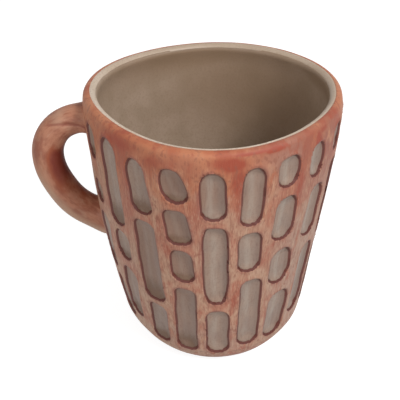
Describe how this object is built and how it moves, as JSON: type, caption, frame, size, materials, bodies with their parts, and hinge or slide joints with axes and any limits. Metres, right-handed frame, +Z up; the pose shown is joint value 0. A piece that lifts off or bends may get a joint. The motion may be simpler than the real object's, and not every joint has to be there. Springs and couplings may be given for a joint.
{
  "type": "pottery mug",
  "caption": "Hand-built stoneware mug with a rounded heel, a slightly flared wall carved with columns of shallow windows, a rolled lip and an ear-shaped handle.",
  "frame": {"origin": "middle of the foot, on the surface that the mug stands on", "axes": "+Z up, the handle points along -X, and the side with the fullest view of the windows faces -Y"},
  "size_m": [0.1148, 0.0938, 0.1],
  "materials": {
    "brushed_slip": "matte fired stoneware with brushed salmon and orange slip",
    "handle_slip": "matte fired stoneware with brushed salmon and orange slip",
    "bare_clay": "bare fired stoneware",
    "window_glaze": "satin grey-beige glaze with brown edges",
    "liner_glaze": "satin grey-brown speckled glaze",
    "lip_glaze": "satin pale beige glaze"
  },
  "bodies": {
    "root": {"base_slab": "brushed_slip", "cup_wall": "brushed_slip", "floor_coil": "bare_clay", "lip_band": "lip_glaze", "liner_glaze": "liner_glaze", "handle": "handle_slip", "upper_handle_slip": "brushed_slip", "lower_handle_slip": "brushed_slip", "window_glaze_1": "window_glaze", "window_glaze_2": "window_glaze", "window_glaze_3": "window_glaze", "window_glaze_4": "window_glaze", "window_glaze_5": "window_glaze", "window_glaze_6": "window_glaze", "window_glaze_7": "window_glaze", "window_glaze_8": "window_glaze", "window_glaze_9": "window_glaze", "window_glaze_10": "window_glaze", "window_glaze_11": "window_glaze", "window_glaze_12": "window_glaze", "window_glaze_13": "window_glaze", "window_glaze_14": "window_glaze", "window_glaze_15": "window_glaze", "window_glaze_16": "window_glaze", "window_glaze_17": "window_glaze", "window_glaze_18": "window_glaze", "window_glaze_19": "window_glaze"}
  },
  "joints": []
}
